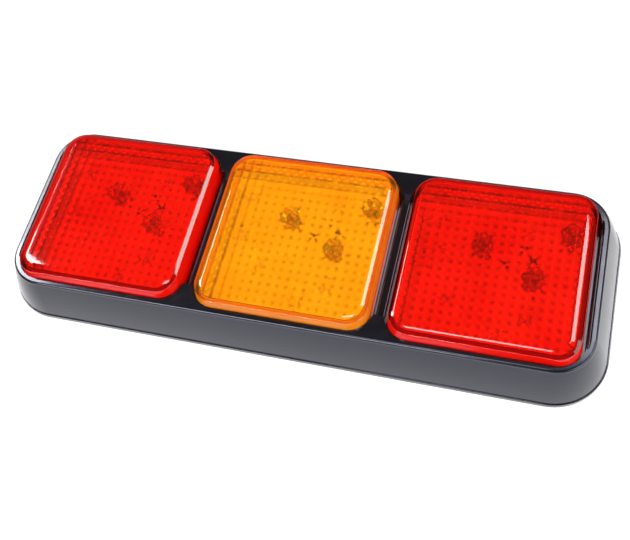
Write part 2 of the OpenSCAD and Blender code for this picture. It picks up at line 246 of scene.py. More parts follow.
def board_material():
    """White solder mask over copper areas and glass cloth."""
    mat, tree, shader = new_material("white solder mask on glass-fibre board", Roughness=0.38,
                                     IOR=1.5)
    place = add(tree, "ShaderNodeTexCoord").outputs["Object"]
    areas = add(tree, "ShaderNodeTexVoronoi", {"Vector": place, "Scale": 1 / (COPPER_AREA * MM)},
                feature="DISTANCE_TO_EDGE", distance="EUCLIDEAN")
    copper = add(tree, "ShaderNodeMapRange", {"Value": areas.outputs["Distance"],
                                              "From Min": GAP_END, "From Max": COPPER_START})
    white = drifting_colour(tree, MASK_DRIFT, ("#F7F6F1", "#F0EFE9"))
    mask = add(tree, "ShaderNodeMix", {0: copper, 6: linear("#ECEBE4"), 7: white},
               data_type="RGBA")
    tree.links.new(mask.outputs[2], shader.inputs["Base Color"])
    scale = 1 / (CLOTH_PITCH * MM) / WAVES_PER_UNIT
    cloth = [add(tree, "ShaderNodeTexWave", {"Vector": place, "Scale": scale},
                 bands_direction=axis).outputs["Fac"] for axis in ("X", "Y")]
    weave = add(tree, "ShaderNodeMath", {0: cloth[0], 1: cloth[1]}, operation="MULTIPLY")
    relief = add(tree, "ShaderNodeMath", {0: copper, 1: COPPER_RELIEF, 2: weave},
                 operation="MULTIPLY_ADD")
    bump = add(tree, "ShaderNodeBump", {"Height": relief, "Distance": RELIEF_DEPTH * MM})
    tree.links.new(bump.outputs[0], shader.inputs["Normal"])
    return mat


SOLDER_MASK = board_material()
print("nodes in the board's finish:", len(SOLDER_MASK.node_tree.nodes))

# %% [markdown]
# Dress the carried-over solids
# A CAD node that keeps its shape only needs its slot filled. These are listed here, with the
# finish that each takes. All the other nodes get finer shapes further down. The solids could be
# rebuilt here too, but theirs are right as they are.

# %% Dress the carried-over solids
NODE_FINISH = {"base": BLACK_ABS, "lamp_screws": ZINC}
for side in LENS_TINT:
    for kind, material in (("tray", WHITE_TRAY), ("board", SOLDER_MASK), ("potting", RESIN),
                           ("seal", FOAM)):
        NODE_FINISH[kind + "_" + side] = material
for node_name, material in NODE_FINISH.items():
    CAD[node_name].data.materials.clear()
    CAD[node_name].data.materials.append(material)
print("dressed", len(NODE_FINISH), "of", len(CAD), "solids")

# %% [markdown]
# The lens's skin
# Each lens is a shallow clear cap. From below, its section runs up an almost upright wall, over a
# tight edge, up a narrow bevel and over a soft ridge to the flat face. The ridge and the edge
# are what catch the studio lights. A Bevel modifier could round them, but only all alike. Here
# the corners of the section are points with a radius each, and a small function rounds them. It
# leaves a point just beside each rounding, so that the flat strips between them shade flat. The
# corners of the plan are tighter at the foot of the wall than at the face, so each point also
# carries the plan's radius.

# %% The lens's skin
LENS_R, LENS_WALL, LENS_FACE = 9.8, 2.2, 2.4
LENS_Z, LENS_TOP = 15.8, 28.0
BEVEL_W, BEVEL_H, FACE_STRIP = 2.8, 1.0, 2.4
FOOT_SPREAD, FOOT_R, KNEE_Z, KNEE_ROUND = 0.75, 9.5, 22.0, 12.0
EDGE_ROUND, RIDGE_ROUND = 0.3, 9.0
BEVEL_SHADE_FROM, BEVEL_SHADE_TO = 0.2, BEVEL_W - 0.7  # painted shade on the bevel between these insets
ARC_STEP = 12  # degrees


def rounded_line(corners, beside=0.12):
    """Points along a line whose corners (a, b, radius) are rounded."""
    points = []
    for k, (a, b, radius) in enumerate(corners):
        here = Vector((a, b))
        if not radius:
            points.append(here)
            continue
        ways = [(Vector(corners[j][:2]) - here).normalized() for j in (k - 1, k + 1)]
        half = ways[0].angle(ways[1]) / 2
        reach = radius / math.tan(half)
        centre = here + (ways[0] + ways[1]).normalized() * radius / math.sin(half)
        start = here + ways[0] * reach - centre
        end = here + ways[1] * reach - centre
        turn = start.angle(end)
        steps = max(3, round(math.degrees(turn) / ARC_STEP))
        points.append(centre + start + ways[0] * beside)
        for step in range(steps + 1):
            t = step / steps
            share = (math.sin((1 - t) * turn), math.sin(t * turn))
            points.append(centre + (start * share[0] + end * share[1]) / math.sin(turn))
        points.append(centre + end + ways[1] * beside)
    return points


# %% The rings of the skin


def lens_rings():
    """(inset, height, plan radius, painted bevel shade) of each ring of the lens's outer skin."""
    edge_z = LENS_TOP - BEVEL_H
    line = rounded_line([(-FOOT_SPREAD, LENS_Z, 0), (-FOOT_SPREAD, KNEE_Z, KNEE_ROUND),
                         (0, edge_z, EDGE_ROUND), (BEVEL_W, LENS_TOP, RIDGE_ROUND),
                         (BEVEL_W + FACE_STRIP, LENS_TOP, 0)])
    rings = [(LENS_WALL, LENS_Z, LENS_R - LENS_WALL, 0.0)]
    for inset, z in line:
        share = max(0.0, -inset / FOOT_SPREAD)
        radius = LENS_R - inset if inset > 0 else LENS_R + (FOOT_R - LENS_R) * share
        rings.append((inset, z, radius, float(BEVEL_SHADE_FROM < inset < BEVEL_SHADE_TO)))
    return rings


print("rings in the skin:", len(lens_rings()))

# %% [markdown]
# The lens's shell
# The inner face needs a fine, even grid for the optics to be pressed into, and the outside needs
# rings that follow the rounded outline. So the shell starts as a square grid whose corners are
# pulled round, and the grid's border is then carried down and round the outside, ring by ring, up
# to one face that closes it. Two attributes go with the points: optic is 1 where the optics lie,
# and the other is 1 on the bevel, where the light has the most plastic to go through; the colour
# there is painted darker, as painted shade.

# %% The lens's shell
FLUTE_PITCH, FLUTE_DEPTH, CELLS_PER_FLUTE = 4.05, 0.5, 8
GRID_BORDER, LEAST_CELL = 0.5, 0.15


def grid_stops(half):
    """Places of the grid's lines along one axis, in millimetres from the lamp's middle."""
    step = FLUTE_PITCH / CELLS_PER_FLUTE
    count = int((half - GRID_BORDER - LEAST_CELL) / step)
    inner = [i * step for i in range(-count, count + 1)]
    return [-half, GRID_BORDER - half] + inner + [half - GRID_BORDER, half]


def pulled_round(x, y, half_l, half_w, radius):
    """A square's point moved so that the square's corners become round."""
    u, v = abs(x) - (half_l - radius), abs(y) - (half_w - radius)
    if u <= 0 or v <= 0:
        return x, y
    share = max(u, v) / math.hypot(u, v)
    return (math.copysign(half_l - radius + u * share, x),
            math.copysign(half_w - radius + v * share, y))


print("grid lines along a lens:", len(grid_stops(LENS_HALF["middle"][0] - LENS_WALL)))

# %% A mesh made a piece


def piece_from(mesh, name):
    """A bmesh as an object at the origin."""
    bmesh.ops.recalc_face_normals(mesh, faces=mesh.faces[:])
    data = bpy.data.meshes.new(name)
    mesh.to_mesh(data)
    mesh.free()
    piece = bpy.data.objects.new(name, data)
    bpy.context.scene.collection.objects.link(piece)
    return piece


# %% The grid and the way out from it


def border_of(nx, ny):
    """The grid's border cells in order round it."""
    return ([(i, 0) for i in range(nx)] + [(nx, j) for j in range(ny)]
            + [(i, ny) for i in range(nx, 0, -1)] + [(0, j) for j in range(ny, 0, -1)])


def inner_face(mesh, optic, centre_x, xs, ys):
    """The inner face's grid, with its corners pulled round: its points by column and row."""
    nx, ny = len(xs) - 1, len(ys) - 1
    grid = {}
    for i, x in enumerate(xs):
        for j, y in enumerate(ys):
            px, py = pulled_round(x, y, xs[-1], ys[-1], LENS_R - LENS_WALL)
            grid[i, j] = mesh.verts.new(((px + centre_x) * MM, py * MM,
                                         (LENS_TOP - LENS_FACE) * MM))
            grid[i, j][optic] = float(0 < i < nx and 0 < j < ny)
    for i in range(nx):
        for j in range(ny):
            mesh.faces.new([grid[i, j], grid[i, j + 1], grid[i + 1, j + 1], grid[i + 1, j]])
    return grid


def spoke(x, y, half_l, half_w):
    """Where a border point stands: shares of the lens's core, and its way out from there."""
    in_r = LENS_R - LENS_WALL
    core_l, core_w = half_l - LENS_R, half_w - LENS_R
    px, py = pulled_round(x, y, half_l - LENS_WALL, half_w - LENS_WALL, in_r)
    cx, cy = max(-core_l, min(core_l, x)), max(-core_w, min(core_w, y))
    return cx / core_l, cy / core_w, (px - cx) / in_r, (py - cy) / in_r


# %% The closed shell


def lens_shell(side):
    """Closed shell of one lens, still without its optics."""
    centre_x, (half_l, half_w) = LAMP_X[side], LENS_HALF[side]
    mesh = bmesh.new()
    optic = mesh.verts.layers.float.new("optic")
    corner = mesh.verts.layers.float.new("corner")
    xs, ys = grid_stops(half_l - LENS_WALL), grid_stops(half_w - LENS_WALL)
    grid = inner_face(mesh, optic, centre_x, xs, ys)
    border = border_of(len(xs) - 1, len(ys) - 1)
    spokes = [spoke(xs[i], ys[j], half_l, half_w) for i, j in border]
    last = [grid[place] for place in border]
    for inset, z, radius, bevel_shaded in lens_rings():
        reach_l, reach_w = half_l - inset - radius, half_w - inset - radius
        ring = [mesh.verts.new(((centre_x + u * reach_l + radius * dx) * MM,
                                (v * reach_w + radius * dy) * MM, z * MM))
                for u, v, dx, dy in spokes]
        for k, vert in enumerate(ring):
            # Each point carries the bevel's flag for painted shade.
            vert[corner] = bevel_shaded
            m = (k + 1) % len(ring)
            mesh.faces.new([last[k], last[m], ring[m], ring[k]])
        last = ring
    mesh.faces.new(last)
    return piece_from(mesh, "lens_cover_" + side)


# %% [markdown]
# The lens's optics
# The inner face carries two sets of half-round flutes that cross in a square grid, and spread the
# light of a few sources over the whole face. A bump could feign them, but only a real relief
# breaks up the board behind it. They follow a rule, so Geometry Nodes press them in:
# each point's distance to the nearest flute's middle, along X and along Y, gives the depth of a
# circular flute, and the point drops by the larger of the two.

# %% The lens's optics


def new_tree(name, sockets):
    """Geometry Nodes tree with its named inputs, and the node that gives them."""
    tree = bpy.data.node_groups.new(name, "GeometryNodeTree")
    tree.interface.new_socket("Geometry", in_out="INPUT", socket_type="NodeSocketGeometry")
    for label, kind in sockets.items():
        tree.interface.new_socket(label, in_out="INPUT", socket_type="NodeSocket" + kind)
    tree.interface.new_socket("Geometry", in_out="OUTPUT", socket_type="NodeSocketGeometry")
    return tree, add(tree, "NodeGroupInput").outputs


def close_tree(tree, geometry, material):
    """Ends a tree in plain faces that wear a material."""
    real = add(tree, "GeometryNodeRealizeInstances", {0: geometry})
    dressed = add(tree, "GeometryNodeSetMaterial", {"Geometry": real, "Material": material})
    add(tree, "NodeGroupOutput", {0: dressed})
    return tree


# %% The flutes' tree


def flute_tree():
    """Crossed half-round flutes in the points that carry the optic attribute."""
    tree, given = new_tree("crossed flutes", {"Pitch": "Float", "Depth": "Float",
                                              "Centre X": "Float", "Finish": "Material"})
    half = add(tree, "ShaderNodeMath", {0: given["Pitch"], 1: 0.5}, operation="MULTIPLY")
    squares = [add(tree, "ShaderNodeMath", {0: length, 1: 2.0}, operation="POWER")
               for length in (half, given["Depth"])]
    both = add(tree, "ShaderNodeMath", {0: squares[0], 1: squares[1]}, operation="ADD")
    twice = add(tree, "ShaderNodeMath", {0: given["Depth"], 1: 2.0}, operation="MULTIPLY")
    radius = add(tree, "ShaderNodeMath", {0: both, 1: twice}, operation="DIVIDE")
    radius_2 = add(tree, "ShaderNodeMath", {0: radius, 1: 2.0}, operation="POWER")
    rise = add(tree, "ShaderNodeMath", {0: radius, 1: given["Depth"]}, operation="SUBTRACT")
    position = add(tree, "GeometryNodeInputPosition")
    place = add(tree, "ShaderNodeSeparateXYZ", {0: position}).outputs
    from_middle = add(tree, "ShaderNodeMath", {0: place["X"], 1: given["Centre X"]},
                      operation="SUBTRACT")
    depths = []
    for along in (from_middle, place["Y"]):
        off = add(tree, "ShaderNodeMath", {0: along, 1: half}, operation="PINGPONG")
        off_2 = add(tree, "ShaderNodeMath", {0: off, 1: 2.0}, operation="POWER")
        arc_2 = add(tree, "ShaderNodeMath", {0: radius_2, 1: off_2}, operation="SUBTRACT")
        arc = add(tree, "ShaderNodeMath", {0: arc_2}, operation="SQRT")
        depths.append(add(tree, "ShaderNodeMath", {0: arc, 1: rise}, operation="SUBTRACT"))
    deeper = add(tree, "ShaderNodeMath", {0: depths[0], 1: depths[1]}, operation="MAXIMUM")
    mask = add(tree, "GeometryNodeInputNamedAttribute", {"Name": "optic"}, data_type="FLOAT")
    drop = add(tree, "ShaderNodeMath", {0: deeper, 1: mask.outputs["Attribute"]},
               operation="MULTIPLY")
    down = add(tree, "ShaderNodeVectorMath", {0: (0, 0, -1), "Scale": drop}, operation="SCALE")
    pressed = add(tree, "GeometryNodeSetPosition", {"Geometry": given["Geometry"],
                                                    "Offset": down})
    return close_tree(tree, pressed, given["Finish"])


FLUTES = flute_tree()
print("nodes in the flute tree:", len(FLUTES.nodes))

# %% A tree run on a piece


def bake(piece, tree, **inputs):
    """Runs a tree on a piece and keeps the result as a plain mesh."""
    modifier = piece.modifiers.new("made", "NODES")
    modifier.node_group = tree
    sockets = {item.name: item.identifier for item in tree.interface.items_tree
               if item.in_out == "INPUT"}
    for label, value in inputs.items():
        modifier[sockets[label.replace("_", " ")]] = value
    evaluated = piece.evaluated_get(bpy.context.evaluated_depsgraph_get())
    result = bpy.data.meshes.new_from_object(evaluated)
    piece.modifiers.clear()
    piece.data = result
    result.name = piece.name
    return piece


# %% [markdown]
# The lens's plastic
# The lens is polycarbonate, dyed through: clear enough to show the board, and the colour deepens
# with each layer that the light crosses. A real lens lets the light of the room in to the white
# board. Cycles would need caustics for that, so rays that only look for a lamp pass through as
# coloured light instead. The pits where four flutes meet send light aside; that shade is painted
# into the lens's colour as a square grid of dark dots. Along the far and the left edge the painted
# dots run together to lines: a painted reflection of the dark gap beside the tray, which the
# flutes mirror there. The lines begin EDGE_LINES millimetres in from the edge and have their full
# strength EDGE_FULL millimetres in from it. Where the solid corner shows, the bevel is painted
# darker: painted shade. The polished face mirrors the room, the satin wall and its inside hardly
# do.

# %% The lens's plastic
# These numbers shape the painted shade of the pits and the painted reflection along the edges.
EDGE_LINES, EDGE_FULL = 22.0, 9.0
FAR_LINES, LEFT_LINES = 1.0, {"left": 0.9, "middle": 0.8, "right": 0.2}
DOT_SHARPNESS, LINE_SHARPNESS, LINE_STRENGTH = 3.0, 6.0, 1.5
MARK_PATCH, MARK_RANGE = 4, (0.35, 0.85)
DYE_PATCH, WAVE_SIZE, WAVE_DEPTH = 18, 9, 0.004
SHADES = {"face": ("clear moulded", 0.88, 0.5), "wall": ("satin wall", 0.15, 0.15),
          "inside": ("wall's inside", 0.15, 0.15)}  # name, see-through, mirrors
# The dark pit colour and the darker bevel colour are painted shade.
DYE = {"red": {"face": ("#E5391A", "#D92811"), "pit_shade": "#3C0200", "corner": "#8C0B05",
               # The wall's inside takes a lighter copy of the wall's dye: painted light.
               "wall": ("#FF1C0A", "#F51203"), "inside": ("#F6301A", "#EA2410"),
               "light": "#FB9688"},
       "amber": {"face": ("#EBBC23", "#E7B019"), "pit_shade": "#7A3C00", "corner": "#F39A24",
                 "wall": ("#F8961A", "#F28C14"), "inside": ("#FFCE4C", "#FFC440"),
                 "light": "#FFE060"}}


# %% The marks of the pits


def painted_pit_shade(tree, side):
    """Painted shade in the pits, and painted reflection in lines along the far and the left edge.
    """
    half_l, half_w = LENS_HALF[side]
    place = add(tree, "ShaderNodeTexCoord").outputs["Object"]
    split = add(tree, "ShaderNodeSeparateXYZ", {0: place}).outputs
    waves, lines = [], []
    for axis, middle, edge, strength in (("X", LAMP_X[side], -half_l, LEFT_LINES[side]),
                                         ("Y", 0.0, half_w, FAR_LINES)):
        off = add(tree, "ShaderNodeMath", {0: split[axis], 1: middle * MM}, operation="SUBTRACT")
        angle = add(tree, "ShaderNodeMath", {0: off, 1: math.pi / (FLUTE_PITCH * MM)},
                    operation="MULTIPLY")
        wave = add(tree, "ShaderNodeMath", {0: angle}, operation="SINE")
        waves.append(add(tree, "ShaderNodeMath", {0: wave}, operation="ABSOLUTE"))
        begin, full = [(abs(edge) - inset) * math.copysign(MM, edge)
                       for inset in (EDGE_LINES, EDGE_FULL)]
        near_edge = add(tree, "ShaderNodeMapRange", {"Value": off, "From Min": begin,
                                                     "From Max": full, "To Max": strength})
        sharp = add(tree, "ShaderNodeMath", {0: waves[-1], 1: LINE_SHARPNESS}, operation="POWER")
        lines.append(add(tree, "ShaderNodeMath", {0: sharp, 1: near_edge}, operation="MULTIPLY"))
    pits = add(tree, "ShaderNodeMath", {0: waves[0], 1: waves[1]}, operation="MULTIPLY")
    dots = add(tree, "ShaderNodeMath", {0: pits, 1: DOT_SHARPNESS}, operation="POWER")
    longer = add(tree, "ShaderNodeMath", {0: lines[0], 1: lines[1]}, operation="MAXIMUM")
    strong = add(tree, "ShaderNodeMath", {0: longer, 1: LINE_STRENGTH}, operation="MULTIPLY")
    marks = add(tree, "ShaderNodeMath", {0: dots, 1: strong}, operation="MAXIMUM")
    optic = add(tree, "ShaderNodeAttribute", attribute_name="optic")
    return add(tree, "ShaderNodeMath", {0: marks, 1: optic.outputs["Fac"]}, operation="MULTIPLY")


# %% Light through a lens


def let_light_in(tree, shader, hex_colour):
    """Rays that look for a lamp pass the surface as coloured light."""
    ray = add(tree, "ShaderNodeLightPath").outputs["Is Shadow Ray"]
    clear = add(tree, "ShaderNodeBsdfTransparent", {"Color": linear(hex_colour)})
    both = add(tree, "ShaderNodeMixShader", {0: ray, 1: shader, 2: clear})
    tree.links.new(both.outputs[0], tree.nodes["Material Output"].inputs["Surface"])


# %% The dyed plastic


def lens_material(side, shade):
    """Dyed clear plastic for one part of a lens: its face, its wall or the wall's inside."""
    tint, (label, see_through, mirrors) = LENS_TINT[side], SHADES[shade]
    dye = DYE[tint]
    mat, tree, shader = new_material(tint + " polycarbonate, " + label + ", " + side,
                                     Transmission_Weight=see_through, IOR=1.586,
                                     Roughness=0.03, Specular_IOR_Level=mirrors)
    body = drifting_colour(tree, DYE_PATCH, dye[shade])
    # The pits' painted shade, uneven in strength, darkens the dye towards the dark pit colour.
    uneven_pit_shade = add(tree, "ShaderNodeMath", {0: painted_pit_shade(tree, side),
                                          1: blotches(tree, MARK_PATCH, *MARK_RANGE)},
                 operation="MULTIPLY")
    pit_shaded = add(tree, "ShaderNodeMix", {0: uneven_pit_shade, 6: body, 7: linear(dye["pit_shade"])},
                 data_type="RGBA")
    # The bevel is painted darker: painted shade where the solid corner shows.
    corner = add(tree, "ShaderNodeAttribute", attribute_name="corner")
    with_bevel_shade = add(tree, "ShaderNodeMix", {0: corner.outputs["Fac"], 6: pit_shaded.outputs[2],
                                        7: linear(dye["corner"])}, data_type="RGBA")
    tree.links.new(with_bevel_shade.outputs[2], shader.inputs["Base Color"])
    wavy = add(tree, "ShaderNodeBump", {"Height": blotches(tree, WAVE_SIZE, detail=1.0),
                                        "Distance": WAVE_DEPTH * MM})
    tree.links.new(wavy.outputs[0], shader.inputs["Normal"])
    let_light_in(tree, shader, dye["light"])
    return mat


# %% [markdown]
# Make the three lenses
# The wall is moulded with a satin texture, so it hides the foam behind it and glows in its own
# colour. It takes its own material: a face belongs to the wall where it stands upright below the
# edge, or lies at the foot. The wall's inside is only seen through the lens's face, which deepens
# its colour once more, so a third material gives it a lighter copy of the dye: painted light that
# makes up for that.

# %% Make the three lenses
WALL_TOP, FOOT_TOP = LENS_TOP - BEVEL_H - EDGE_ROUND, LENS_Z + 0.01
UPRIGHT, OUTSIDE = 0.3, -1e-4  # limits of a face's tilt, and of how far it looks outward
LENS_CREASE = 30  # degrees


def dress_wall(lens, side):
    """Gives the wall and its inside their own materials, after the one of the polished face."""
    for shade in ("wall", "inside"):
        lens.data.materials.append(lens_material(side, shade))
    for face in lens.data.polygons:
        upright = abs(face.normal.z) < UPRIGHT and face.center.z < WALL_TOP * MM
        if upright or face.center.z < FOOT_TOP * MM:
            outward = (face.center.x - LAMP_X[side] * MM, face.center.y, 0)
            face.material_index = 1 if face.normal.dot(outward) > OUTSIDE else 2


for side, tint in LENS_TINT.items():
    lens = bake(lens_shell(side), FLUTES, Pitch=FLUTE_PITCH * MM, Depth=FLUTE_DEPTH * MM,
                Centre_X=LAMP_X[side] * MM, Finish=lens_material(side, "face"))
    dress_wall(lens, side)
    lens.data.shade_smooth()
    lens.data.set_sharp_from_angle(angle=math.radians(LENS_CREASE))
    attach(lens, "root")
    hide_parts("lens_" + side)
    print(lens.name, len(lens.data.polygons), "faces")

# %% [markdown]
# Where the light sources stand
# Six light sources stand on a square grid that is turned on the board, and the small parts lie
# between them at fractions of the same grid. The steps are the CAD model's own, so that every
# new piece lands on its solid.

# %% Where the light sources stand
LED_TURN = math.radians(-29.5)
LED_STEPS = [(0, 0), (1, 0), (1, 1), (0, -1), (1, -1), (-1, 0)]
LED_EDGE, BOARD_L, BOARD_W, BOARD_TOP = 5.1, 70.6, 69.2, 13.6


def turned(step):
    """A step of the grid, turned as the grid is."""
    x, y = step
    return (x * math.cos(LED_TURN) - y * math.sin(LED_TURN),
            x * math.sin(LED_TURN) + y * math.cos(LED_TURN))


LOWEST, HIGHEST = [[some(turned(step)[k] for step in LED_STEPS) for k in (0, 1)]
                   for some in (min, max)]
GRID_MID = [(high + low) / 2 for low, high in zip(LOWEST, HIGHEST)]
GRID_REACH = [high - low for low, high in zip(LOWEST, HIGHEST)]
LED_PITCH = min((BOARD_L - 2 * LED_EDGE) / GRID_REACH[0], (BOARD_W - 2 * LED_EDGE) / GRID_REACH[1])


def on_board(step, side):
    """Place on a lamp's board, in millimetres, of a step of the grid."""
    x, y = turned(step)
    return (LAMP_X[side] + LED_PITCH * (x - GRID_MID[0]), LED_PITCH * (y - GRID_MID[1]),
            BOARD_TOP)


print("light sources are", round(LED_PITCH, 2), "mm apart")

# %% [markdown]
# Small shapes and how they are set
# Everything on the board is either turned, as an optic is, or built of small blocks with rounded
# edges, as a package and its legs are. One function makes each kind of shape once, and a
# Geometry Nodes tree sets it on all its places: the places are the points of a mesh, and the
# shape is an instance on each. Copies of an object in a loop would do as well, but would leave
# many objects to join.

# %% Small shapes and how they are set


def join_rings(mesh, rings, segments):
    """Faces from ring to ring. A section that starts off the axis also closes on itself."""
    hollow = len(rings[0]) > 1
    for low, high in zip(rings, rings[1:] + (rings[:1] if hollow else [])):
        for k in range(segments):
            m = (k + 1) % segments
            corners = [low[k % len(low)], low[m % len(low)], high[m % len(high)],
                       high[k % len(high)]]
            unique = [v for n, v in enumerate(corners) if v not in corners[:n]]
            if len(unique) > 2:
                mesh.faces.new(unique)


def turned_shape(name, profile, segments=28, knurl=None):
    """Turned shape from (radius, height) points. Between two radii, knurl = (low, high, depth)
    lifts every second point. The attribute flare is 1 where the side stands upright."""
    mesh = bmesh.new()
    flare = mesh.verts.layers.float.new("flare")
    rings = []
    for place, (radius, z) in enumerate(profile):
        before, after = profile[place - 1], profile[(place + 1) % len(profile)]
        upright = float(abs(after[1] - before[1]) > abs(after[0] - before[0]))
        ring = []
        for k in range(segments if radius else 1):
            depth = knurl[2] * (k % 2) if knurl and knurl[0] < radius < knurl[1] else 0.0
            angle = 2 * math.pi * k / segments
            ring.append(mesh.verts.new(((radius + depth) * MM * math.cos(angle),
                                        (radius + depth) * MM * math.sin(angle), z * MM)))
            ring[-1][flare] = upright
        rings.append(ring)
    join_rings(mesh, rings, segments)
    return piece_from(mesh, name)


# %% Blocks


def block_shape(name, blocks):
    """Blocks (x, y, length, width, low, high, rounding) as one shape."""
    mesh = bmesh.new()
    for x, y, length, width, low, high, rounding in blocks:
        verts = bmesh.ops.create_cube(mesh, size=1.0)["verts"]
        for v in verts:
            v.co = ((x + v.co.x * length) * MM, (y + v.co.y * width) * MM,
                    (low + (v.co.z + 0.5) * (high - low)) * MM)
        edges = list({edge for v in verts for edge in v.link_edges})
        bmesh.ops.bevel(mesh, geom=edges, offset=rounding * MM, segments=2, affect="EDGES")
    return piece_from(mesh, name)


# %% The tree that sets a shape on its places


def setting_tree():
    """Sets one shape on every point of a mesh and dresses it."""
    tree, given = new_tree("set on points", {"Shape": "Object", "Turn": "Float",
                                             "Finish": "Material"})
    points = add(tree, "GeometryNodeMeshToPoints", {"Mesh": given["Geometry"]})
    shape = add(tree, "GeometryNodeObjectInfo", {"Object": given["Shape"]})
    spin = add(tree, "ShaderNodeCombineXYZ", {"Z": given["Turn"]})
    placed = add(tree, "GeometryNodeInstanceOnPoints",
                 {"Points": points, "Instance": shape.outputs["Geometry"], "Rotation": spin})
    return close_tree(tree, placed, given["Finish"])


SETTING = setting_tree()
print("nodes in the setting tree:", len(SETTING.nodes))

# %% A piece set at many places


def set_pieces(name, shape, places, material, turn=0.0, smooth_degrees=40):
    """A piece made of one shape set at many places, in millimetres. The shape is used up."""
    spots = bpy.data.meshes.new(name)
    spots.from_pydata([tuple(c * MM for c in place) for place in places], [], [])
    piece = bpy.data.objects.new(name, spots)
    bpy.context.scene.collection.objects.link(piece)
    bake(piece, SETTING, Shape=shape, Turn=turn, Finish=material)
    bpy.data.objects.remove(shape)
    piece.data.shade_smooth()
    piece.data.set_sharp_from_angle(angle=math.radians(smooth_degrees))
    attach(piece, "root")
    return piece


# %% [markdown]
# The light sources
# A light source is a square ceramic package, soldered down, with a small bare die in its middle
# and a clear flared optic over it. Seen through the fluted lens, an optic breaks up into a ring of
# dark specks where its package is brown, and all but vanishes where the package is pale and the
# optic frosted. The ring is painted shade as well: the clear optic's flared side is painted
# darker.
# The photograph shows three of each in a lamp. Clear acrylic bends the board and the package
# behind it, frosted acrylic spreads them to an even white, and the solder's bright edge sets a
# package off from the board. The specks could be painted on the lens, but then they would not
# shift with the view, as these do.

# %% The light sources
LED_D, LED_H, RIM_H, PACKAGE_W, PACKAGE_H = 10.0, 7.4, 0.77, 7.0, 1.4
DISH_R, DISH_DEPTH, DISH_STEPS = 0.37 * LED_D, 1.1, 5
FOOT_INSET, FOOT_GAP = 0.3, 0.1  # of the optic on its package
CHIP_W, CHIP_LOW, CHIP_HIGH = 2.4, 1.35, 1.46
DARK_COUNT, ACRYLIC_DRIFT = 3, 3


def acrylic(name, hexes, flare_shade_hex, see_through, roughness):
    """Acrylic of an optic, with painted shade on its flared side, seen through its whole depth."""
    mat, tree, shader = new_material(name, Transmission_Weight=see_through, IOR=1.49,
                                     Roughness=roughness)
    flare = add(tree, "ShaderNodeAttribute", attribute_name="flare")
    colour = add(tree, "ShaderNodeMix", {0: flare.outputs["Fac"],
                                         6: drifting_colour(tree, ACRYLIC_DRIFT, hexes),
                                         7: linear(flare_shade_hex)}, data_type="RGBA")
    tree.links.new(colour.outputs[2], shader.inputs["Base Color"])
    let_light_in(tree, shader, "#F0F0F0")
    return mat


# The clear optic's flared side takes painted shade, which draws a dark ring round it.
CLEAR_ACRYLIC = acrylic("clear acrylic, polished", ("#F6F2E6", "#FFFFFF"), "#E08A60", 1.0, 0.14)
FROSTED_ACRYLIC = acrylic("frosted acrylic", ("#FAF8F2", "#FFFFFF"), "#FFFFFF", 0.35, 0.3)
DIE = finish("bare die, lapped", ("#4E1E12", "#6E3A28"), 0.8, (0.4, 0.5), 0.3, 0.01)
DARK_CERAMIC = finish("brown ceramic package", ("#1E0602", "#F2E2D4"), 1.9, (0.5, 0.65), 0.4,
                      0.01, IOR=1.6, Specular_IOR_Level=0.1)
PALE_CERAMIC = finish("white ceramic package", ("#F1EFE8", "#E6E3DA"), 1.5, (0.3, 0.45), 0.4,
                      0.01, IOR=1.6)
SOLDER = finish("tin solder, reflowed", ("#D9DADC", "#C2C4C8"), 0.8, (0.15, 0.3), 0.5, 0.02,
                Metallic=1.0)


# %% Optic and pads


def optic_profile():
    """(radius, height) of one optic: a flared side, a flat rim and a dished top."""
    half, low = LED_D / 2, PACKAGE_H + FOOT_GAP
    side = rounded_line([(PACKAGE_W / 2 - FOOT_INSET, low, 0), (half, LED_H - RIM_H, 0.1),
                         (half, LED_H, 0.12), (DISH_R, LED_H, 0)], beside=0.05)
    shares = [1 - step / DISH_STEPS for step in range(1, DISH_STEPS + 1)]
    dish = [(DISH_R * share, LED_H - DISH_DEPTH * (1 - share ** 2)) for share in shares]
    return [(0, low)] + [tuple(p) for p in side] + dish


def package_pads():
    """Solder that stands out on two sides of a package."""
    return block_shape("pads", [(s * 3.35, 0, 0.9, 5.6, 0.0, 0.25, 0.08) for s in (-1, 1)])


# %% Set the light sources


def set_light_sources(side):
    """The optics, packages, dies and pads of one lamp's light sources."""
    places = [on_board(step, side) for step in LED_STEPS]
    dark, pale = places[:DARK_COUNT], places[DARK_COUNT:]
    for tone, material, some in (("clear", CLEAR_ACRYLIC, dark),
                                 ("frosted", FROSTED_ACRYLIC, pale)):
        optics = set_pieces("led_optics_" + tone + "_" + side,
                            turned_shape("optic", optic_profile()), some, material,
                            LED_TURN)
        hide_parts("leds_" + side)
    package = [(0, 0, PACKAGE_W, PACKAGE_W, 0.02, PACKAGE_H, 0.2)]
    for tone, material, some in (("dark", DARK_CERAMIC, dark), ("pale", PALE_CERAMIC, pale)):
        set_pieces("led_packages_" + tone + "_" + side, block_shape("package", package), some,
                   material, LED_TURN)
    chip = [(0, 0, CHIP_W, CHIP_W, CHIP_LOW, CHIP_HIGH, 0.03)]
    set_pieces("led_chips_" + side, block_shape("chip", chip), places, DIE, LED_TURN)
    set_pieces("led_pads_" + side, package_pads(), places, SOLDER, LED_TURN)


for side in LENS_TINT:
    set_light_sources(side)
print("light sources set on three boards:", len(LED_STEPS), "each,", DARK_COUNT, "of them dark")

# %% [markdown]
# The small parts on the board
# Chip resistors have a ceramic body between two tinned ends, the diode has a moulded body on two
# folded tabs, and a regulator sits on a wide metal tab with three legs in front. Three of the
# resistors have a brown glaze and show as dark specks in the photograph. The rest does not show,
# so its bodies are of white epoxy, which melts into the board. Behind the flutes no marking or
# mould line would tell, so plain blocks with rounded edges do.

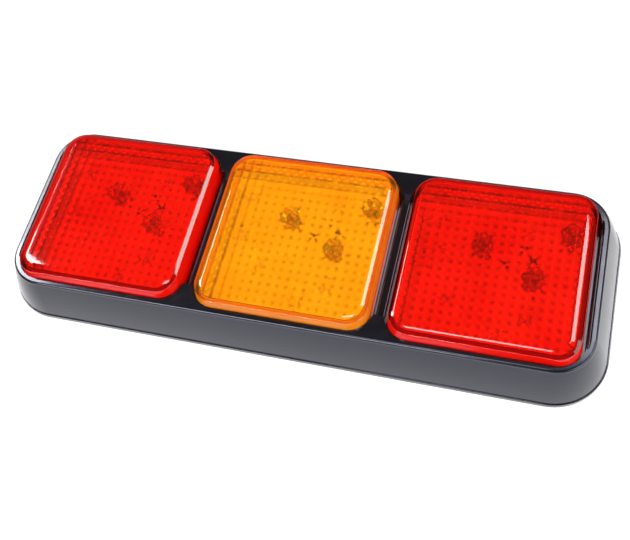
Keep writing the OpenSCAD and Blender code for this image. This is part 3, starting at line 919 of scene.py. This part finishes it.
# %% The small parts on the board
RESISTOR_STEPS = [(0.5, 0.45), (0.45, 0.05), (0.75, 0.35), (-0.55, -0.35), (-0.3, 0.4),
                  (0.4, -0.6)]
DIODE_STEPS = [(0.4, 0.75)]
REGULATOR_STEPS = [(-0.6, -0.75), (1.25, -0.5)]
BROWN_GLAZE = finish("brown glaze on ceramic", ("#3C1408", "#50200F"), 2, (0.4, 0.55), 0.4, 0.01,
                     Specular_IOR_Level=0.2)
PALE_EPOXY = finish("white epoxy, moulded", ("#EFEEE8", "#E3E1D9"), 2, (0.4, 0.55), 0.4, 0.01)
print("small parts on each board:", len(RESISTOR_STEPS + DIODE_STEPS + REGULATOR_STEPS))

# %% Shapes of the small parts
PART_SHAPES = {
    "resistor_bodies": [(0, 0, 2.7, 1.6, 0.04, 0.56, 0.05)],
    "resistor_ends": [(s * 1.43, 0, 0.34, 1.6, 0.0, 0.6, 0.08) for s in (-1, 1)],
    "diode_bodies": [(0, 0, 4.2, 2.7, 0.15, 2.2, 0.2)],
    "diode_tabs": [(s * 2.1, 0, 0.4, 1.5, 0.0, 1.1, 0.08) for s in (-1, 1)],
    "regulator_bodies": [(0, -0.2, 6.4, 4.8, 0.1, 2.2, 0.2)],
    "regulator_tabs": [(0, 2.7, 5.4, 1.0, 0.0, 0.5, 0.08)]
                      + [(x, -2.9, 0.7, 0.6, 0.0, 0.5, 0.08) for x in (-2.2, 0, 2.2)],
}
print("shapes for them:", len(PART_SHAPES))

# %% Set the small parts
PART_SETS = [("resistor_bodies", RESISTOR_STEPS[:DARK_COUNT], BROWN_GLAZE, "dark_"),
             ("resistor_bodies", RESISTOR_STEPS[DARK_COUNT:], PALE_EPOXY, "pale_"),
             ("resistor_ends", RESISTOR_STEPS, SOLDER, ""),
             ("diode_bodies", DIODE_STEPS, PALE_EPOXY, ""),
             ("diode_tabs", DIODE_STEPS, SOLDER, ""),
             ("regulator_bodies", REGULATOR_STEPS, PALE_EPOXY, ""),
             ("regulator_tabs", REGULATOR_STEPS, SOLDER, "")]

for side in LENS_TINT:
    for label, steps, material, tone in PART_SETS:
        part = set_pieces(tone + label + "_" + side, block_shape(label, PART_SHAPES[label]),
                          [on_board(step, side) for step in steps], material)
        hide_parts("board_parts_" + side)
print("small parts set on three boards")

# %% [markdown]
# Inserts and grommet
# Four brass inserts take the screws that hold the lamp. They are turned from bar, which leaves a
# warm, fine-lined shine: a rolled knurl grips the plastic, two grooves lock them, and the bore has
# an M5 thread, whose ridges show from below. The rubber grommet in the middle is dull, with a soft
# round edge on each flange. Both are turned shapes, so the same function makes them from a section
# that runs round in a loop.

# %% Inserts and grommet
INSERT_R, INSERT_BORE_R, INSERT_H = 3.2, 2.1, 8.0
INSERT_SEGMENTS, GROMMET_SEGMENTS = 48, 64
KNURL_BANDS = ((0.5, 2.1), (3.3, 4.8), (5.9, 7.5))
KNURL_DEPTH, KNURL_SINK, GROOVE = 0.15, 0.16, 0.5
THREAD_PITCH, THREAD_DEPTH, THREAD_FROM = 0.8, 0.32, 0.4
FLANGE_R, NECK_R, INNER_FLANGE_R, CABLE_R = 8.0, 6.0, 7.2, 3.0
FLANGE_LOW, FLANGE_HIGH, INNER_LOW, INNER_HIGH = 0.2, 1.5, 3.0, 4.0
BRASS = finish("brass, turned", ("#D9B45C", "#C79F48"), 2, (0.18, 0.32), 0.25, 0.008,
               Metallic=1.0)
MOULDED_RUBBER = finish("black rubber, moulded", ("#161617", "#1E1E20"), 5, (0.5, 0.65), 0.8,
                        0.01, edge_mm=0.2, IOR=1.5)


# %% Sections of the insert and the grommet


def insert_profile():
    """Section of an insert: knurled bands outside, thread inside."""
    knurled, grooved = INSERT_R - KNURL_SINK, INSERT_R - GROOVE
    outside = [(INSERT_R - 0.35, 0.0), (knurled, 0.3)]
    for low, high in KNURL_BANDS:
        outside += [(knurled, low), (knurled, high), (grooved, high + 0.1), (grooved, high + 0.4)]
    turns = int(INSERT_H / THREAD_PITCH) - 1
    inside = []
    for turn in range(turns, -1, -1):
        z = THREAD_FROM + turn * THREAD_PITCH
        inside += [(INSERT_BORE_R, z + THREAD_PITCH / 2), (INSERT_BORE_R + THREAD_DEPTH, z)]
    return outside + [(grooved, INSERT_H), (INSERT_BORE_R + 0.3, INSERT_H)] + inside


def grommet_profile():
    """Section of the grommet: an outer flange, the neck in the base's web, an inner flange."""
    corners = [(CABLE_R, FLANGE_LOW, 0.3), (FLANGE_R, FLANGE_LOW, 0.4),
               (FLANGE_R, FLANGE_HIGH, 0.4), (NECK_R, FLANGE_HIGH, 0.1), (NECK_R, INNER_LOW, 0.1),
               (INNER_FLANGE_R, INNER_LOW, 0.3), (INNER_FLANGE_R, INNER_HIGH, 0.35),
               (CABLE_R, INNER_HIGH, 0.3)]
    loop = [corners[-1][:2] + (0,)] + corners + [corners[0][:2] + (0,)]
    return [tuple(p) for p in rounded_line(loop, beside=0.04)[1:-1]]


print("corners in the insert's section:", len(insert_profile()))

# %% Set the inserts and the grommet
low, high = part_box("mounting_inserts")
insert_x, insert_y = (high.x / MM - INSERT_R), (high.y / MM - INSERT_R)
corners = [(sx * insert_x, sy * insert_y, 0) for sx in (-1, 1) for sy in (-1, 1)]
insert = turned_shape("insert", insert_profile(), INSERT_SEGMENTS,
                      (INSERT_R - 0.2, INSERT_R, KNURL_DEPTH))
inserts = set_pieces("threaded_inserts", insert, corners, BRASS)
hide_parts("mounting_inserts")
grommet = set_pieces("inlet_grommet",
                     turned_shape("grommet", grommet_profile(), GROMMET_SEGMENTS),
                     [(0, 0, 0)], MOULDED_RUBBER)
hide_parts("cable_grommet")
print("inserts at", [tuple(round(v, 2) for v in c) for c in corners])

# %% [markdown]
# Floor and room
# The photograph is a cut-out on white. The floor is pale paper that looks white to the camera and
# in mirrors but throws back less light, so the lamp keeps its shadow under it. The room is white
# to the camera. What the lamp mirrors of it is white at the horizon, which greys the flared black
# wall, and nearly dark higher up, which keeps the lenses' colours deep.

# %% The floor
FLOOR_SIZE, FLOOR_GLOW, FLOOR_DROP = 1.6, 0.7, 0.0001


def make_floor():
    """Plain pale floor that stays white where it is seen or mirrored."""
    mesh = bpy.data.meshes.new("floor")
    s = FLOOR_SIZE
    mesh.from_pydata([(-s, -s, 0), (s, -s, 0), (s, s, 0), (-s, s, 0)], [], [(0, 1, 2, 3)])
    floor = bpy.data.objects.new("floor", mesh)
    floor.location.z = -FLOOR_DROP
    bpy.context.scene.collection.objects.link(floor)
    mat, tree, shader = new_material("white paper", Roughness=0.9, Specular_IOR_Level=0.0,
                                     Emission_Color=(1, 1, 1, 1), Base_Color=linear("#BEBEBE"))
    ray = add(tree, "ShaderNodeLightPath").outputs
    seen = ray["Is Camera Ray"]
    for kind in ("Is Glossy Ray", "Is Transmission Ray"):
        seen = add(tree, "ShaderNodeMath", {0: seen, 1: ray[kind]}, operation="MAXIMUM")
    glow = add(tree, "ShaderNodeMath", {0: seen, 1: FLOOR_GLOW}, operation="MULTIPLY")
    tree.links.new(glow.outputs[0], shader.inputs["Emission Strength"])
    mesh.materials.append(mat)


make_floor()
print("floor of", 2 * FLOOR_SIZE, "metres made")

# %% The room
HORIZON_LOW, HORIZON_HIGH = 0.1, 0.35  # heights on a unit sphere, between which the room fades
LOW_LEVEL, HIGH_LEVEL = 1.0, 0.05


def make_room():
    """White towards the horizon, nearly dark above, plain white to the camera."""
    world = bpy.data.worlds.new("studio")
    bpy.context.scene.world = world
    world.use_nodes = True
    tree = world.node_tree
    tree.nodes.clear()
    way = add(tree, "ShaderNodeTexCoord").outputs["Generated"]
    height = add(tree, "ShaderNodeSeparateXYZ", {0: way}).outputs["Z"]
    fade = add(tree, "ShaderNodeMapRange", {"Value": height, "From Min": HORIZON_LOW,
                                            "From Max": HORIZON_HIGH, "To Min": LOW_LEVEL,
                                            "To Max": HIGH_LEVEL})
    seen = add(tree, "ShaderNodeLightPath").outputs["Is Camera Ray"]
    level = add(tree, "ShaderNodeMath", {0: fade, 1: seen}, operation="MAXIMUM")
    back = add(tree, "ShaderNodeBackground", {"Color": (1, 1, 1, 1), "Strength": level})
    add(tree, "ShaderNodeOutputWorld", {0: back})


make_room()
print("nodes in the room's tree:", len(bpy.context.scene.world.node_tree.nodes))

# %% [markdown]
# Lamps
# The studio's lamps are placed by what they show as in the photograph. The front softbox lights
# everything and draws the thin line on the near edges. The left panel is mirrored in the near left
# corner of the left lens and the left strip on the base's left end. The right panel stands behind
# the object and is mirrored in the right ridges, and the top strip in the right lens's near ridge.
# The right fill lights the base's right end from the side. Each is given by the place on the
# object that mirrors it in millimetres, its way and its distance from there, the way that its
# width runs, its width and height in metres, and its power in watts.

# %% Lamps
ACROSS, DEEP = (1, 0, 0), (0, 1, 0)
FACE_MIDDLE = (0, 0, 28)


def softbox(name, seen_at, way, distance, along, size, watts):
    """Area light that lies in a direction from a place on the object, its width along a vector."""
    light = bpy.data.lights.new(name, "AREA")
    light.shape, light.energy = "RECTANGLE", watts
    light.size, light.size_y = size
    lamp = bpy.data.objects.new(name, light)
    bpy.context.scene.collection.objects.link(lamp)
    back = Vector(way).normalized()
    side = (Vector(along) - back * back.dot(Vector(along))).normalized()
    turn = lamp.matrix_world.to_3x3()
    for row, parts in enumerate(zip(side, back.cross(side), back)):
        turn[row] = parts
    lamp.matrix_world = turn.to_4x4()
    lamp.location = Vector(seen_at) * MM + back * distance


softbox("front softbox", FACE_MIDDLE, (-0.294, -0.608, 0.735), 2.04, ACROSS, (1.2, 0.5), 27.0)
softbox("left panel", (-120.8, -34.7, 28), (-0.595, 0.294, 0.748), 6.0, (0.713, -0.237, 0.660),
        (1.12, 0.72), 45.0)
softbox("left strip", (-136, 0, 22.7), (-0.534, 0.387, 0.752), 6.0, (0.222, 0.975, -0.345),
        (1.1, 0.15), 13.0)
softbox("right panel", FACE_MIDDLE, (0.204, 0.440, 0.874), 6.0, ACROSS, (1.54, 1.0), 41.0)
softbox("top strip", (60, -36, 28), (-0.080, 0.110, 0.991), 3.0, ACROSS, (0.78, 0.42), 8.5)
softbox("right fill", FACE_MIDDLE, (0.830, -0.120, 0.540), 1.4, DEEP, (1.5, 1.0), 13.5)
bpy.context.scene.view_settings.view_transform = "Standard"
print("lamps placed")
